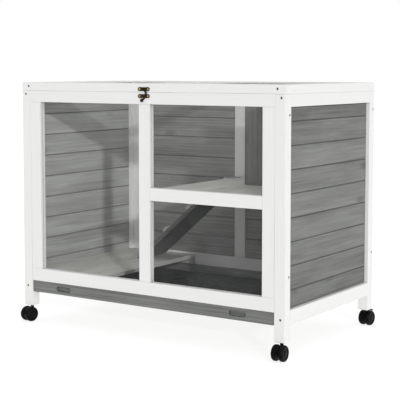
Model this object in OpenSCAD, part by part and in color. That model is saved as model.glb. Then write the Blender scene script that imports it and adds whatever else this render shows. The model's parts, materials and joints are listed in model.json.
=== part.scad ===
// Rabbit hutch on castors: framed body with boarded walls, clear front panes, wire mesh lid,
// ramp, upper deck and pull-out tray. Millimetres, X to the right, Y to the back, Z up.
// The origin is on the ground under the middle of the body. The front faces -Y.

/* [Body] */
// Width over the posts
body_w = 915; // [900:5:940]
// Depth over the posts
body_d = 533; // [520:1:550]
// Height of the frame from the post feet to the lid
frame_h = 657; // [645:1:670]
// Height of the castors under the posts
castor_h = 50; // [50:1:53]

/* [Frame] */
// Width of a post, across the front
post_w = 32; // [30:1:36]
// Depth of a post, front to back
post_d = 30; // [28:1:34]
// Thickness of the rails and stiles
rail_t = 20; // [18:1:22]
// Width of the upright stiles
stile_w = 38; // [34:1:42]
// Height of the top rails
top_rail_h = 34; // [30:1:38]
// Height of the front and rear bottom rails
bottom_rail_h = 38; // [34:1:42]
// Underside of the front and rear bottom rails above the post feet
bottom_rail_z = 79; // [79:1:82]
// Height of the middle rail in the front
mid_rail_h = 36; // [32:1:40]
// Underside of the middle rail above the post feet
mid_rail_z = 351; // [340:1:360]
// Height of the side bottom rails
side_rail_h = 40; // [36:1:44]
// Underside of the side bottom rails and of the tray front above the post feet
side_rail_z = 44; // [44:1:48]

/* [Walls and panes] */
// Thickness of the wall boards
board_t = 9; // [8:1:10]
// Visible width of a wall board
board_pitch = 64.3; // [60:0.1:68]
// Distance from the side top rails down to the first joint of the side boards
side_first_joint = 39; // [20:1:60]
// Distance from the rear top rail down to the first joint of the rear boards
rear_first_joint = 59; // [20:1:60]
// Thickness of the clear panes
pane_t = 3; // [2:0.5:3]

/* [Inside] */
// Thickness of the floor and deck boards
shelf_t = 12; // [10:1:14]
// Top of the lower floor above the post feet
floor_top = 112; // [108:1:114]
// Right-hand end of the lower floor, from the left side of the body
floor_end = 286; // [270:1:300]
// Top of the upper deck above the post feet
deck_top = 385; // [376:1:386]
// Left-hand end of the upper deck, from the left side of the body
deck_start = 492; // [480:1:500]
// Left-hand edge of the nook board, from the left side of the body
nook_start = 640; // [600:5:680]
// Front face of the nook board, from the front of the body
nook_y = 245; // [230:5:280]
// Angle of the ramp
ramp_angle = 41; // [40:1:43]
// Width of the ramp
ramp_w = 133; // [120:1:150]

/* [Lid] */
// Thickness of the lid
lid_t = 25; // [24:1:28]
// Width of the lid rails
lid_rail_w = 40; // [36:1:44]
// Spacing of the mesh wires
mesh_pitch = 25; // [20:1:30]
// Diameter of the mesh wires
wire_d = 1.8; // [1.6:0.1:2]

/* [Tray] */
// Height of the tray front
tray_h = 34; // [32:1:34]
// Thickness of the tray front
tray_front_t = 15; // [14:1:18]
// Length of a finger grip
grip_l = 54; // [45:1:60]
// Height of a finger grip
grip_h = 15; // [13:1:17]

/* [Castors] */
// Wheel diameter
wheel_d = 44.5; // [42:0.5:45]
// Width over both wheels
wheels_w = 36; // [34:1:38]
// Distance from the stem to the axle
trail = 12; // [11:1:12]
// Heading of the front left castor
heading_fl = 261; // [0:1:359]
// Heading of the front right castor
heading_fr = 273; // [0:1:359]
// Heading of the rear left castor
heading_rl = 98; // [0:1:359]
// Heading of the rear right castor
heading_rr = 85; // [0:1:359]

/* [Hidden] */

$fn = 48;
eps = 0.01;

// Colours
white_paint = [0.93, 0.93, 0.92];
grey_stain = [0.48, 0.48, 0.46];
pale_stain = [0.58, 0.58, 0.55];
bronze = [0.2, 0.17, 0.12];
brass = [0.6, 0.5, 0.3];
black = [0.08, 0.08, 0.08];
clear = [0.8, 0.85, 0.88, 0.35];
zinc = [0.7, 0.71, 0.72];

// Outer faces and levels of the body
left = -body_w / 2;
right = body_w / 2;
front = -body_d / 2;
rear = body_d / 2;
foot = castor_h;
frame_top = foot + frame_h;
lid_top = frame_top + lid_t;

// Space between the posts
gap_l = left + post_w;
gap_r = right - post_w;
front_in = front + rail_t;
rear_in = rear - rail_t;
top_rail_bottom = frame_top - top_rail_h;
bottom_rail_top = foot + bottom_rail_z + bottom_rail_h;
mid_rail_top = foot + mid_rail_z + mid_rail_h;

// Panes sit in grooves in the middle of the front frame
groove_t = pane_t + 0.4;
groove_deep = 7;
pane_y = front + rail_t / 2;
pane_edge = groove_deep - 0.5;

// Boards: tongue on the upper edge, groove in the lower edge
tongue_t = 3;
tongue_h = 4;
joint_v = 2.2;
joint_v_in = 1.8;

// Screws: head, shank and cross slot, and the pocket that a head sits in
head_r = 3.1;
head_t = 2;
shank_r = 1.6;
slot_l = 4;
slot_w = 0.7;
pocket_r = 3.4;
pocket_deep = 2.8;
post_shank = 12;
pilot_r = shank_r + 0.05;
pilot_deep = post_shank + 2;
head_clear = 0.1;
post_screw_x = 13;
post_screw_y = 22.5;
post_screws_front_z = [61, 647];
post_screws_side_z = [174, 602];
lid_screw_x = 25;
lid_screw_z = frame_top + 13.5;

// Stem of a castor in its post
stem_r = 4;
stem_clear = 0.05;
stem_h = 30;

// Lid hinge and its leaves
hinge_r = 3;
hinge_pin_r = 1.2;
hinge_clear = 0.05;
hinge_gap = 0.3;
hinge_y = rear + hinge_r + hinge_gap;
leaf_t = 1.5;
leaf_h = 17;
leaf_w = 50;
leaf_screw_x = 16;
leaf_screw_z = 11;
leaf_shank = 10;
hinge_x = 300;
knuckle_gap = 0.2;

// Latch, measured from the middle of the lid front
plate_w = 41.2;
plate_h = 11.5;
plate_t = 1.4;
plate_neck = 0.3;
plate_screw_x = 14.7;
plate_shank = 8;
lid_plate_z = frame_top + 8.5;
keeper_z = frame_top - 11;
hook_x = -3.5;
hook_t = 1.6;
hook_gap = 0.3;
hook_y = front - plate_t - hook_gap;
hook_pivot_r = 2;
hook_cap_r = 3.4;
hook_cap_t = 1;
hook_bar_w = 5;
hook_bend_r = 2.9;
hook_eye_r = 5;
hook_knob_t = 0.8;
stud_x = 1.5;
stud_r = 2.6;
stud_h = 0.2;

// Mesh of the lid
mesh_top = lid_top - 6;
mesh_groove_z = mesh_top - 2 * wire_d - 0.3;
mesh_groove_h = 2 * wire_d + 0.6;
mesh_edge = 7;

// Tray
tray_side_t = 12;
tray_clear = 1.5;
tray_z = foot + side_rail_z;
tray_l = gap_l + tray_clear;
tray_r = gap_r - tray_clear;
tray_front_y = front + 2;
tray_rear_y = rear_in + 10;
runner_top = tray_z + 1.5;
runner_h = 9;
liner_h = 6;
liner_t = 2;
liner_rim = 4;
liner_gap = 2;
tray_floor_z = runner_top + 0.5;
tray_base_t = 3;
grip_deep = 8;
grip_z = tray_z + tray_h * 0.52;
grips_x = [left + 153, right - 148];

// Shelves
floor_z = foot + floor_top - shelf_t;
deck_z = foot + deck_top - shelf_t;
floor_x1 = left + floor_end;
deck_x0 = left + deck_start;
bearer_h = 18;
side_in = right - rail_t;
board_gap = 0.4;
glue_gap = 0.1;
notch_gap = 0.3;
floor_boards = 5;
deck_boards = 6;
nook_boards = 4;
nook_t = 11;
nook_top = frame_top - 6;

// Ramp, measured from its hinge line down the slope
ramp_t = shelf_t;
ramp_hinge_x = deck_x0 - hinge_r - 0.4;
ramp_hinge_z = deck_z + shelf_t + leaf_t / 2;
ramp_start = hinge_r + 0.4;
ramp_low = ramp_t + leaf_t / 2;
ramp_end = (ramp_hinge_z - foot - floor_top - 0.3 - ramp_low * cos(ramp_angle)) / sin(ramp_angle);
ramp_y1 = rear_in - 42;
ramp_y0 = ramp_y1 - ramp_w;
ramp_leaf_w = 60;
ramp_leaf_l = 22;
cleats = 4;
cleat_w = 16;
cleat_h = 12;
cleat_side = 8;
cleat_first = 26;
cleat_pitch = 118;

// Castor
wheel_r = wheel_d / 2;
axle_r = 2.5;
web_t = 6;
wheel_in = web_t / 2 + 2.3;
wheel_t = wheels_w / 2 - wheel_in;
collar_r = 6;
lever_w = 15;
lever_pivot_x = trail + 8;
lever_pivot_z = wheel_r + 15.5;
lever_pin_r = 1.2;
lever_slot = 3;

// A box from its lowest and highest corner
module block(a, b) {
  translate(a)
    cube(b - a);
}

// Cylinders along X and along Y from a starting point
module rod_x(p, r, l) {
  translate(p)
    rotate([0, 90, 0])
      cylinder(r = r, h = l);
}

module rod_y(p, r, l) {
  translate(p)
    rotate([-90, 0, 0])
      cylinder(r = r, h = l);
}

// Screw along +Z with its head at the top and a cross in it
module screw(shank) {
  difference() {
    union() {
      translate([0, 0, -head_t])
        cylinder(r = head_r, h = head_t);
      translate([0, 0, -head_t - shank])
        cylinder(r = shank_r, h = shank + eps);
    }
    for (turn = [0, 90])
      rotate([0, 0, turn])
        translate([-slot_l / 2, -slot_w / 2, -head_t / 2])
          cube([slot_l, slot_w, head_t]);
  }
}

// Turns +Z to face out of the front, the rear, the left or the right
module facing(side) {
  turn = side == "front" ? [90, 0, 0] : side == "rear" ? [-90, 0, 0] :
    side == "left" ? [0, -90, 0] : [0, 90, 0];
  rotate(turn)
    children();
}

// Places its children at the screws of one post, facing out of the wood
module post_screw_places(sx, sy) {
  for (z = post_screws_front_z)
    translate([sx * (right - post_screw_x), sy * rear, foot + z])
      facing(sy < 0 ? "front" : "rear")
        children();
  for (z = post_screws_side_z)
    translate([sx * right, sy < 0 ? front + post_screw_y : rear - post_d + post_screw_y, foot + z])
      facing(sx < 0 ? "left" : "right")
        children();
}

module screw_pocket() {
  translate([0, 0, -pocket_deep])
    cylinder(r = pocket_r, h = pocket_deep + 1);
  translate([0, 0, -pocket_deep - pilot_deep])
    cylinder(r = pilot_r, h = pilot_deep + 1);
}

module pocketed_screw() {
  translate([0, 0, head_t - pocket_deep])
    screw(post_shank);
}

// One square post with the socket of its castor and its screw pockets
module post(sx, sy) {
  x0 = sx < 0 ? left : gap_r;
  y0 = sy < 0 ? front : rear - post_d;
  color(white_paint)
    difference() {
      block([x0, y0, foot], [x0 + post_w, y0 + post_d, frame_top]);
      translate([x0 + post_w / 2, y0 + post_d / 2, foot - 1])
        cylinder(r = stem_r + stem_clear, h = stem_h + 2);
      post_screw_places(sx, sy)
        screw_pocket();
    }
}

module post_front_left() { post(-1, -1); }
module post_front_right() { post(1, -1); }
module post_rear_left() { post(-1, 1); }
module post_rear_right() { post(1, 1); }

// Openings of the three front windows: left, right, bottom and top edge
mid_l = -stile_w / 2;
mid_r = stile_w / 2;
open_left = [gap_l + stile_w, mid_l, bottom_rail_top, top_rail_bottom];
open_upper = [mid_r, gap_r - stile_w, mid_rail_top, top_rail_bottom];
open_lower = [mid_r, gap_r - stile_w, bottom_rail_top, foot + mid_rail_z];

// A plate that reaches past the edges of a window opening
module pane(o, past, t) {
  block([o[0] - past, pane_y - t / 2, o[2] - past], [o[1] + past, pane_y + t / 2, o[3] + past]);
}

// Grooves for all three panes
module pane_grooves() {
  for (o = [open_left, open_upper, open_lower])
    pane(o, groove_deep, groove_t);
}

module front_member(x0, x1, z0, z1) {
  color(white_paint)
    difference() {
      block([x0, front, z0], [x1, front_in, z1]);
      pane_grooves();
    }
}

module front_top_rail() { front_member(gap_l, gap_r, top_rail_bottom, frame_top); }
module front_bottom_rail() { front_member(gap_l, gap_r, foot + bottom_rail_z, bottom_rail_top); }
module front_mid_rail() { front_member(mid_r, gap_r - stile_w, foot + mid_rail_z, mid_rail_top); }
module front_left_stile() { front_member(gap_l, gap_l + stile_w, bottom_rail_top, top_rail_bottom); }
module front_mid_stile() { front_member(mid_l, mid_r, bottom_rail_top, top_rail_bottom); }
module front_right_stile() { front_member(gap_r - stile_w, gap_r, bottom_rail_top, top_rail_bottom); }

module window_left() { color(clear) pane(open_left, pane_edge, pane_t); }
module window_upper() { color(clear) pane(open_upper, pane_edge, pane_t); }
module window_lower() { color(clear) pane(open_lower, pane_edge, pane_t); }

// Outline of one wall board: outer face at y = 0, wood towards +y, from z0 to z1
function board_outline(z0, z1, tongue, groove) = concat(
  [[0, z0 + joint_v], [0, z1 - joint_v], [joint_v, z1]],
  tongue ? [[board_t / 2 - tongue_t / 2, z1], [board_t / 2 - tongue_t / 2, z1 + tongue_h],
    [board_t / 2 + tongue_t / 2, z1 + tongue_h], [board_t / 2 + tongue_t / 2, z1]] : [],
  [[board_t - joint_v_in, z1], [board_t, z1 - joint_v_in],
    [board_t, z0 + joint_v_in], [board_t - joint_v_in, z0]],
  groove ? [[board_t / 2 + tongue_t / 2 + 0.2, z0],
    [board_t / 2 + tongue_t / 2 + 0.2, z0 + tongue_h + 0.5],
    [board_t / 2 - tongue_t / 2 - 0.2, z0 + tongue_h + 0.5],
    [board_t / 2 - tongue_t / 2 - 0.2, z0]] : [],
  [[joint_v, z0]]);

// A wall of boards along +X from 0 to l, outer face at y = 0
module boards(l, z0, z1, first) {
  joints = [for (z = [z1 - first : -board_pitch : z0 + 8]) z];
  n = len(joints);
  edges = concat([z1], joints, [z0]);
  for (i = [0 : n])
    translate([l, 0, 0])
      rotate([90, 0, -90])
        linear_extrude(l)
          polygon([for (p = board_outline(edges[i + 1] + 0.1, edges[i] - 0.1, i > 0, i < n))
            [-p[0], p[1]]]);
}

module right_boards() {
  z0 = foot + side_rail_z + side_rail_h;
  color(grey_stain)
    translate([side_in + board_t, front + post_d, 0])
      rotate([0, 0, 90])
        boards(body_d - 2 * post_d, z0, top_rail_bottom, side_first_joint);
}

module left_boards() {
  mirror([1, 0, 0])
    right_boards();
}

// Boards of the rear wall, in two fields between the stiles
rear_board_y = rear - (rail_t - board_t) / 2;
module rear_boards() {
  l = mid_l - gap_l - stile_w;
  color(grey_stain)
    for (x1 = [mid_l, gap_r - stile_w])
      translate([x1, rear_board_y, 0])
        rotate([0, 0, 180])
          boards(l, bottom_rail_top, top_rail_bottom, rear_first_joint);
}

module rear_member(x0, x1, z0, z1) {
  color(white_paint)
    block([x0, rear_in, z0], [x1, rear, z1]);
}

module rear_top_rail() { rear_member(gap_l, gap_r, top_rail_bottom, frame_top); }
module rear_bottom_rail() { rear_member(gap_l, gap_r, foot + bottom_rail_z, bottom_rail_top); }
module rear_stiles() {
  for (x = [gap_l, mid_l, gap_r - stile_w])
    rear_member(x, x + stile_w, bottom_rail_top, top_rail_bottom);
}

module side_pair(z0, z1) {
  color(white_paint)
    for (sx = [-1, 1])
      block([min(sx * side_in, sx * right), front + post_d, z0],
        [max(sx * side_in, sx * right), rear - post_d, z1]);
}

module side_top_rails() { side_pair(top_rail_bottom, frame_top); }
module side_bottom_rails() { side_pair(foot + side_rail_z, foot + side_rail_z + side_rail_h); }

// Lid: the front and rear rails run through, the side rails and the bar fit between them
lid_in_y = [front + lid_rail_w, rear - lid_rail_w];

// Edges of a mesh opening, left or right of the bar
function mesh_open(sx) = sx < 0 ? [left + lid_rail_w, -lid_rail_w / 2] :
  [lid_rail_w / 2, right - lid_rail_w];

module mesh_grooves() {
  for (sx = [-1, 1]) {
    o = mesh_open(sx);
    block([o[0] - mesh_edge - 1, lid_in_y[0] - mesh_edge - 1, mesh_groove_z],
      [o[1] + mesh_edge + 1, lid_in_y[1] + mesh_edge + 1, mesh_groove_z + mesh_groove_h]);
  }
}

module lid_screw_places() {
  for (sx = [-1, 1], side = ["front", "rear"])
    translate([sx * (right - lid_screw_x), side == "front" ? front : rear, lid_screw_z])
      facing(side)
        children();
}

module lid_member(a, b) {
  color(white_paint)
    difference() {
      block([a[0], a[1], frame_top], [b[0], b[1], lid_top]);
      mesh_grooves();
      lid_screw_places()
        screw_pocket();
    }
}

module lid_front_rail() { lid_member([left, front], [right, lid_in_y[0]]); }
module lid_rear_rail() { lid_member([left, lid_in_y[1]], [right, rear]); }
module lid_side_rails() {
  lid_member([left, lid_in_y[0]], [left + lid_rail_w, lid_in_y[1]]);
  lid_member([right - lid_rail_w, lid_in_y[0]], [right, lid_in_y[1]]);
}
module lid_mid_bar() { lid_member([-lid_rail_w / 2, lid_in_y[0]], [lid_rail_w / 2, lid_in_y[1]]); }

// Welded mesh: cross wires on top of long wires, sunk into each other a little
module mesh(sx) {
  o = mesh_open(sx);
  x0 = o[0] - mesh_edge;
  x1 = o[1] + mesh_edge;
  y0 = lid_in_y[0] - mesh_edge;
  y1 = lid_in_y[1] + mesh_edge;
  nx = floor((x1 - x0 - 10) / mesh_pitch);
  ny = floor((y1 - y0 - 10) / mesh_pitch);
  flat_r = wire_d / 2 / cos(22.5);
  color(zinc) {
    for (i = [0 : nx])
      translate([(x0 + x1) / 2 + (i - nx / 2) * mesh_pitch, y0, mesh_top - wire_d / 2])
        rotate([-90, 0, 0])
          rotate([0, 0, 22.5])
            cylinder(r = flat_r, h = y1 - y0, $fn = 8);
    for (j = [0 : ny])
      translate([x0, (y0 + y1) / 2 + (j - ny / 2) * mesh_pitch, mesh_top - wire_d * 1.5 + 0.15])
        rotate([0, 90, 0])
          rotate([0, 0, 22.5])
            cylinder(r = flat_r, h = x1 - x0, $fn = 8);
  }
}

module lid_mesh_left() { mesh(-1); }
module lid_mesh_right() { mesh(1); }

// Lid hinges: three knuckles each, the middle one on the lid
knuckle_l = leaf_w / 3;
module knuckle(x, l) {
  difference() {
    rod_x([x, hinge_y, frame_top], hinge_r, l);
    rod_x([x - 1, hinge_y, frame_top], hinge_pin_r + hinge_clear, l + 2);
  }
}

// The heads are let into the leaves
module leaf_screws(z) {
  for (dx = [-leaf_screw_x, leaf_screw_x])
    translate([dx, rear + leaf_t - head_clear, z])
      facing("rear")
        screw(leaf_shank);
}

module leaf_holes(z) {
  for (dx = [-leaf_screw_x, leaf_screw_x])
    rod_y([dx, rear - 1, z], head_r + head_clear, leaf_t + 2);
}

module lid_hinge_leaves() {
  color(brass)
    for (sx = [-1, 1])
      translate([sx * hinge_x, 0, 0])
        difference() {
          union() {
            knuckle(-knuckle_l / 2 + knuckle_gap, knuckle_l - 2 * knuckle_gap);
            block([-knuckle_l / 2 + knuckle_gap, rear, frame_top + 1.5],
              [knuckle_l / 2 - knuckle_gap, rear + leaf_t, frame_top + 6]);
            block([-leaf_w / 2, rear, frame_top + hinge_r + 0.5],
              [leaf_w / 2, rear + leaf_t, frame_top + leaf_h]);
          }
          leaf_holes(frame_top + leaf_screw_z);
          rod_x([-leaf_w, hinge_y, frame_top], hinge_pin_r + hinge_clear, 2 * leaf_w);
        }
}

module frame_hinge_leaves() {
  color(brass)
    for (sx = [-1, 1])
      translate([sx * hinge_x, 0, 0])
        difference() {
          union() {
            for (x = [-leaf_w / 2, knuckle_l / 2]) {
              knuckle(x, knuckle_l);
              block([x, rear, frame_top - 6], [x + knuckle_l, rear + leaf_t, frame_top - 1.5]);
            }
            block([-leaf_w / 2, rear, frame_top - leaf_h],
              [leaf_w / 2, rear + leaf_t, frame_top - hinge_r - 0.5]);
          }
          leaf_holes(frame_top - leaf_screw_z);
          rod_x([-leaf_w, hinge_y, frame_top], hinge_pin_r + hinge_clear, 2 * leaf_w);
        }
}

module lid_hinge_pins() {
  color(brass)
    for (sx = [-1, 1])
      rod_x([sx * hinge_x - leaf_w / 2 - 1, hinge_y, frame_top], hinge_pin_r, leaf_w + 2);
}

// A latch plate with round ends and two screw holes, its middle at height z
module latch_base(z) {
  difference() {
    union() {
      for (sx = [-1, 1])
        rod_y([sx * (plate_w - plate_h) / 2, front - plate_t, z], plate_h / 2, plate_t);
      block([-(plate_w - plate_h) / 2, front - plate_t, z - plate_h / 2 + plate_neck],
        [(plate_w - plate_h) / 2, front, z + plate_h / 2 - plate_neck]);
    }
    for (sx = [-1, 1])
      rod_y([sx * plate_screw_x, front - plate_t - 1, z], head_r + head_clear, plate_t + 2);
  }
}

module latch_plate() {
  color(bronze) {
    latch_base(lid_plate_z);
    rod_y([hook_x, hook_y - hook_t - 0.2, lid_plate_z], hook_pivot_r, hook_t + hook_gap + 0.3);
    rod_y([hook_x, hook_y - hook_t - 0.2 - hook_cap_t, lid_plate_z], hook_cap_r, hook_cap_t);
  }
}

// Flat bar between two points of the front face, given as [x, z], with a round boss at its end
module hook_bar(a, b) {
  d = b - a;
  translate([a[0], hook_y, a[1]])
    rotate([0, -atan2(d[1], d[0]), 0])
      translate([0, -hook_t, -hook_bar_w / 2])
        cube([norm(d), hook_t, hook_bar_w]);
  rod_y([b[0], hook_y - hook_t, b[1]], hook_bend_r, hook_t);
}

hook_points = [[hook_x, lid_plate_z], [5, lid_plate_z - 4], [8.5, lid_plate_z - 10],
  [7.5, lid_plate_z - 18], [3, lid_plate_z - 25], [-5.5, lid_plate_z - 31.5]];
hook_bars = 5;
module latch_hook() {
  color(bronze)
    difference() {
      union() {
        for (i = [0 : hook_bars - 1])
          hook_bar(hook_points[i], hook_points[i + 1]);
        rod_y([hook_x, hook_y - hook_t, lid_plate_z], hook_eye_r, hook_t);
        rod_y([hook_points[hook_bars][0], hook_y - hook_t - hook_knob_t, hook_points[hook_bars][1]],
          hook_eye_r, hook_t + hook_knob_t);
      }
      rod_y([hook_x, hook_y - hook_t - 1, lid_plate_z], hook_pivot_r + 0.05, hook_t + 2);
    }
}

module latch_keeper() {
  color(bronze) {
    latch_base(keeper_z);
    rod_y([stud_x, front - plate_t - stud_h, keeper_z + 1], stud_r, stud_h + 0.1);
  }
}

// Screws of the latch, with their heads let into the plate
module plate_screws(z) {
  for (sx = [-1, 1])
    translate([sx * plate_screw_x, front - plate_t + head_clear, z])
      facing("front")
        screw(plate_shank);
}

module lid_screws() {
  color(brass) {
    lid_screw_places()
      pocketed_screw();
    plate_screws(lid_plate_z);
    for (sx = [-1, 1])
      translate([sx * hinge_x, 0, 0])
        leaf_screws(frame_top + leaf_screw_z);
  }
}

module frame_screws() {
  color(brass) {
    for (sx = [-1, 1], sy = [-1, 1])
      post_screw_places(sx, sy)
        pocketed_screw();
    plate_screws(keeper_z);
    for (sx = [-1, 1])
      translate([sx * hinge_x, 0, 0])
        leaf_screws(frame_top - leaf_screw_z);
  }
}

// Finger grip: a slot with round ends, routed into the face
module grip(x) {
  for (sx = [-1, 1])
    rod_y([x + sx * (grip_l - grip_h) / 2, tray_front_y - 1, grip_z], grip_h / 2, grip_deep + 1);
  block([x - (grip_l - grip_h) / 2, tray_front_y - 1, grip_z - grip_h / 2],
    [x + (grip_l - grip_h) / 2, tray_front_y + grip_deep, grip_z + grip_h / 2]);
}

module tray_front() {
  color(grey_stain)
    difference() {
      block([tray_l, tray_front_y, tray_z], [tray_r, tray_front_y + tray_front_t, tray_z + tray_h]);
      for (x = grips_x)
        grip(x);
    }
}

module tray_frame() {
  y0 = tray_front_y + tray_front_t;
  z1 = tray_z + tray_h;
  color(grey_stain) {
    block([tray_l, y0, runner_top], [tray_l + tray_side_t, tray_rear_y, z1]);
    block([tray_r - tray_side_t, y0, runner_top], [tray_r, tray_rear_y, z1]);
    block([tray_l + tray_side_t + glue_gap, tray_rear_y - tray_side_t, runner_top],
      [tray_r - tray_side_t - glue_gap, tray_rear_y, z1]);
  }
}

tray_in_l = tray_l + tray_side_t;
tray_in_r = tray_r - tray_side_t;
tray_in_y0 = tray_front_y + tray_front_t;
tray_in_y1 = tray_rear_y - tray_side_t;

module tray_base() {
  color(pale_stain)
    block([tray_in_l, tray_in_y0, tray_floor_z], [tray_in_r, tray_in_y1, tray_floor_z + tray_base_t]);
}

// Plastic pan with a rolled rim, from x0 to x1
module liner(x0, x1) {
  z0 = tray_floor_z + tray_base_t;
  y0 = tray_in_y0 + liner_gap;
  y1 = tray_in_y1 - liner_gap;
  rim = liner_rim;
  color(black)
    difference() {
      union() {
        block([x0 + rim, y0 + rim, z0], [x1 - rim, y1 - rim, z0 + liner_h]);
        block([x0, y0, z0 + liner_h - liner_t], [x1, y1, z0 + liner_h]);
      }
      block([x0 + rim + liner_t, y0 + rim + liner_t, z0 + liner_t],
        [x1 - rim - liner_t, y1 - rim - liner_t, z0 + liner_h + 1]);
    }
}

liner_seam = 25;
module tray_liner_left() { liner(tray_in_l + liner_gap, liner_seam - 0.5); }
module tray_liner_right() { liner(liner_seam + 0.5, tray_in_r - liner_gap); }

module tray_runners() {
  color(white_paint)
    for (sx = [-1, 1])
      block([min(sx * side_in, sx * (tray_in_r + 1)), front + post_d, runner_top - runner_h],
        [max(sx * side_in, sx * (tray_in_r + 1)), rear - post_d, runner_top - 0.2]);
}

// Shelf boards laid front to back, side by side, cut round the posts at the outer end
module shelf(x0, x1, z, n, notch_x0, notch_x1) {
  w = (x1 - x0) / n;
  color(pale_stain)
    difference() {
      for (i = [0 : n - 1])
        block([x0 + i * w + (i > 0 ? board_gap : 0), front_in, z],
          [x0 + (i + 1) * w, rear_in, z + shelf_t]);
      for (sy = [-1, 1])
        block([notch_x0, sy < 0 ? front : rear - post_d - notch_gap, z - 1],
          [notch_x1, sy < 0 ? front + post_d + notch_gap : rear, z + shelf_t + 1]);
    }
}

module lower_floor() { shelf(-side_in, floor_x1, floor_z, floor_boards, left, gap_l + notch_gap); }
module upper_deck() { shelf(deck_x0, side_in, deck_z, deck_boards, gap_r - notch_gap, right); }

module shelf_bearers() {
  color(pale_stain)
    for (sy = [-1, 1]) {
      y0 = sy < 0 ? front_in : rear_in - bearer_h;
      block([gap_l + 1, y0, floor_z - bearer_h], [floor_x1, y0 + bearer_h, floor_z]);
      block([deck_x0 + 2, y0, deck_z - bearer_h], [gap_r - 1, y0 + bearer_h, deck_z]);
    }
}

// Upright boards that close off the rear of the deck
module nook_board() {
  x0 = left + nook_start;
  w = (side_in - x0) / nook_boards;
  color(grey_stain)
    for (i = [0 : nook_boards - 1])
      block([x0 + i * w + (i > 0 ? board_gap : 0), front + nook_y, deck_z + shelf_t],
        [x0 + (i + 1) * w, front + nook_y + nook_t, nook_top]);
}

// Turns the ramp frame, in which X runs down the slope and Z out of it, into place
module ramp_frame() {
  translate([ramp_hinge_x, 0, ramp_hinge_z])
    rotate([0, 0, 180])
      rotate([0, ramp_angle, 0])
        translate([0, -(ramp_y0 + ramp_y1) / 2, 0])
          children();
}

// The upper end is cut plumb to clear the deck, the foot level to lie on the floor
module ramp_board() {
  color(grey_stain)
    ramp_frame()
      translate([0, ramp_w / 2, 0])
        rotate([90, 0, 0])
          linear_extrude(ramp_w)
            polygon([[ramp_start, -leaf_t / 2], [ramp_start + ramp_t * tan(ramp_angle), -ramp_low],
              [ramp_end, -ramp_low], [ramp_end + ramp_t / tan(ramp_angle), -leaf_t / 2]]);
}

module ramp_cleats() {
  color(pale_stain)
    ramp_frame()
      for (i = [0 : cleats - 1])
        block([cleat_first + i * cleat_pitch, -ramp_w / 2 + cleat_side, -leaf_t / 2],
          [cleat_first + i * cleat_pitch + cleat_w, ramp_w / 2 - cleat_side, cleat_h - leaf_t / 2]);
}

// Ramp hinge: the middle knuckle is on the ramp, the outer two and the pin on the deck
ramp_knuckle = ramp_leaf_w / 3;
module ramp_knuckle(y, l) {
  difference() {
    rod_y([0, y, 0], hinge_r, l);
    rod_y([0, y - 1, 0], hinge_pin_r + hinge_clear, l + 2);
  }
}

module ramp_hinge_leaf() {
  color(zinc)
    ramp_frame()
      difference() {
        union() {
          ramp_knuckle(-ramp_knuckle / 2 + knuckle_gap, ramp_knuckle - 2 * knuckle_gap);
          block([0, -ramp_knuckle / 2 + knuckle_gap, -leaf_t / 2],
            [ramp_start + 2, ramp_knuckle / 2 - knuckle_gap, leaf_t / 2]);
          block([ramp_start, -ramp_leaf_w / 2, -leaf_t / 2], [ramp_leaf_l, ramp_leaf_w / 2, leaf_t / 2]);
        }
        rod_y([0, -ramp_leaf_w, 0], hinge_pin_r + hinge_clear, 2 * ramp_leaf_w);
      }
}

module deck_hinge_leaf() {
  color(zinc)
    translate([ramp_hinge_x, (ramp_y0 + ramp_y1) / 2, ramp_hinge_z]) {
      difference() {
        union() {
          for (y = [-ramp_leaf_w / 2, ramp_knuckle / 2]) {
            ramp_knuckle(y, ramp_knuckle);
            block([0, y, -leaf_t / 2], [ramp_start + 2, y + ramp_knuckle, leaf_t / 2]);
          }
          block([ramp_start, -ramp_leaf_w / 2, -leaf_t / 2], [ramp_leaf_l, ramp_leaf_w / 2, leaf_t / 2]);
        }
        rod_y([0, -ramp_leaf_w, 0], hinge_pin_r + hinge_clear, 2 * ramp_leaf_w);
      }
      rod_y([0, -ramp_leaf_w / 2 - 1, 0], hinge_pin_r, ramp_leaf_w + 2);
    }
}

// Castors: the stem is on the Z axis and the axle behind it, along +X
module at_castor(sx, sy, heading) {
  translate([sx * (right - post_w / 2), sy * (rear - post_d / 2), 0])
    rotate([0, 0, heading])
      children();
}

module lever_slot_cut() {
  block([trail + 1, -lever_slot / 2, wheel_r + 8], [trail + 30, lever_slot / 2, castor_h]);
}

module castor_housing(slotted) {
  color(black)
    difference() {
      union() {
        intersection() {
          rod_y([trail, -web_t / 2, wheel_r], wheel_r - 2, web_t);
          block([-wheel_r, -web_t / 2, wheel_r - 9], [trail + wheel_r, web_t / 2, castor_h]);
        }
        translate([0, 0, wheel_r - 6])
          cylinder(r = 5, h = castor_h - 3.5 - wheel_r + 6);
        translate([0, 0, castor_h - 3.6])
          cylinder(r = collar_r, h = 3.6);
        cylinder_stem();
        if (slotted)
          rod_y([lever_pivot_x, -web_t / 2, lever_pivot_z], 3.2, web_t);
      }
      rod_y([trail, -web_t, wheel_r], axle_r + 0.05, 2 * web_t);
      if (slotted)
        lever_slot_cut();
    }
  if (slotted)
    color(zinc)
      rod_y([lever_pivot_x, -web_t / 2, lever_pivot_z], lever_pin_r, web_t);
}

module cylinder_stem() {
  translate([0, 0, castor_h - 1])
    cylinder(r = stem_r, h = stem_h + 1);
}

// Outline of one wheel, turned about the axle: a crowned tread and a dished outer face
module wheel_outline() {
  polygon([[axle_r + 0.02, 0], [wheel_r - 2.5, 0], [wheel_r - 0.6, 0.8], [wheel_r, 3],
    [wheel_r, wheel_t - 5], [wheel_r - 1.1, wheel_t - 2], [wheel_r - 3.6, wheel_t],
    [wheel_r - 6, wheel_t], [wheel_r - 7.5, wheel_t - 2], [8, wheel_t - 2], [6, wheel_t - 0.4],
    [axle_r + 0.02, wheel_t - 0.4]]);
}

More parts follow.
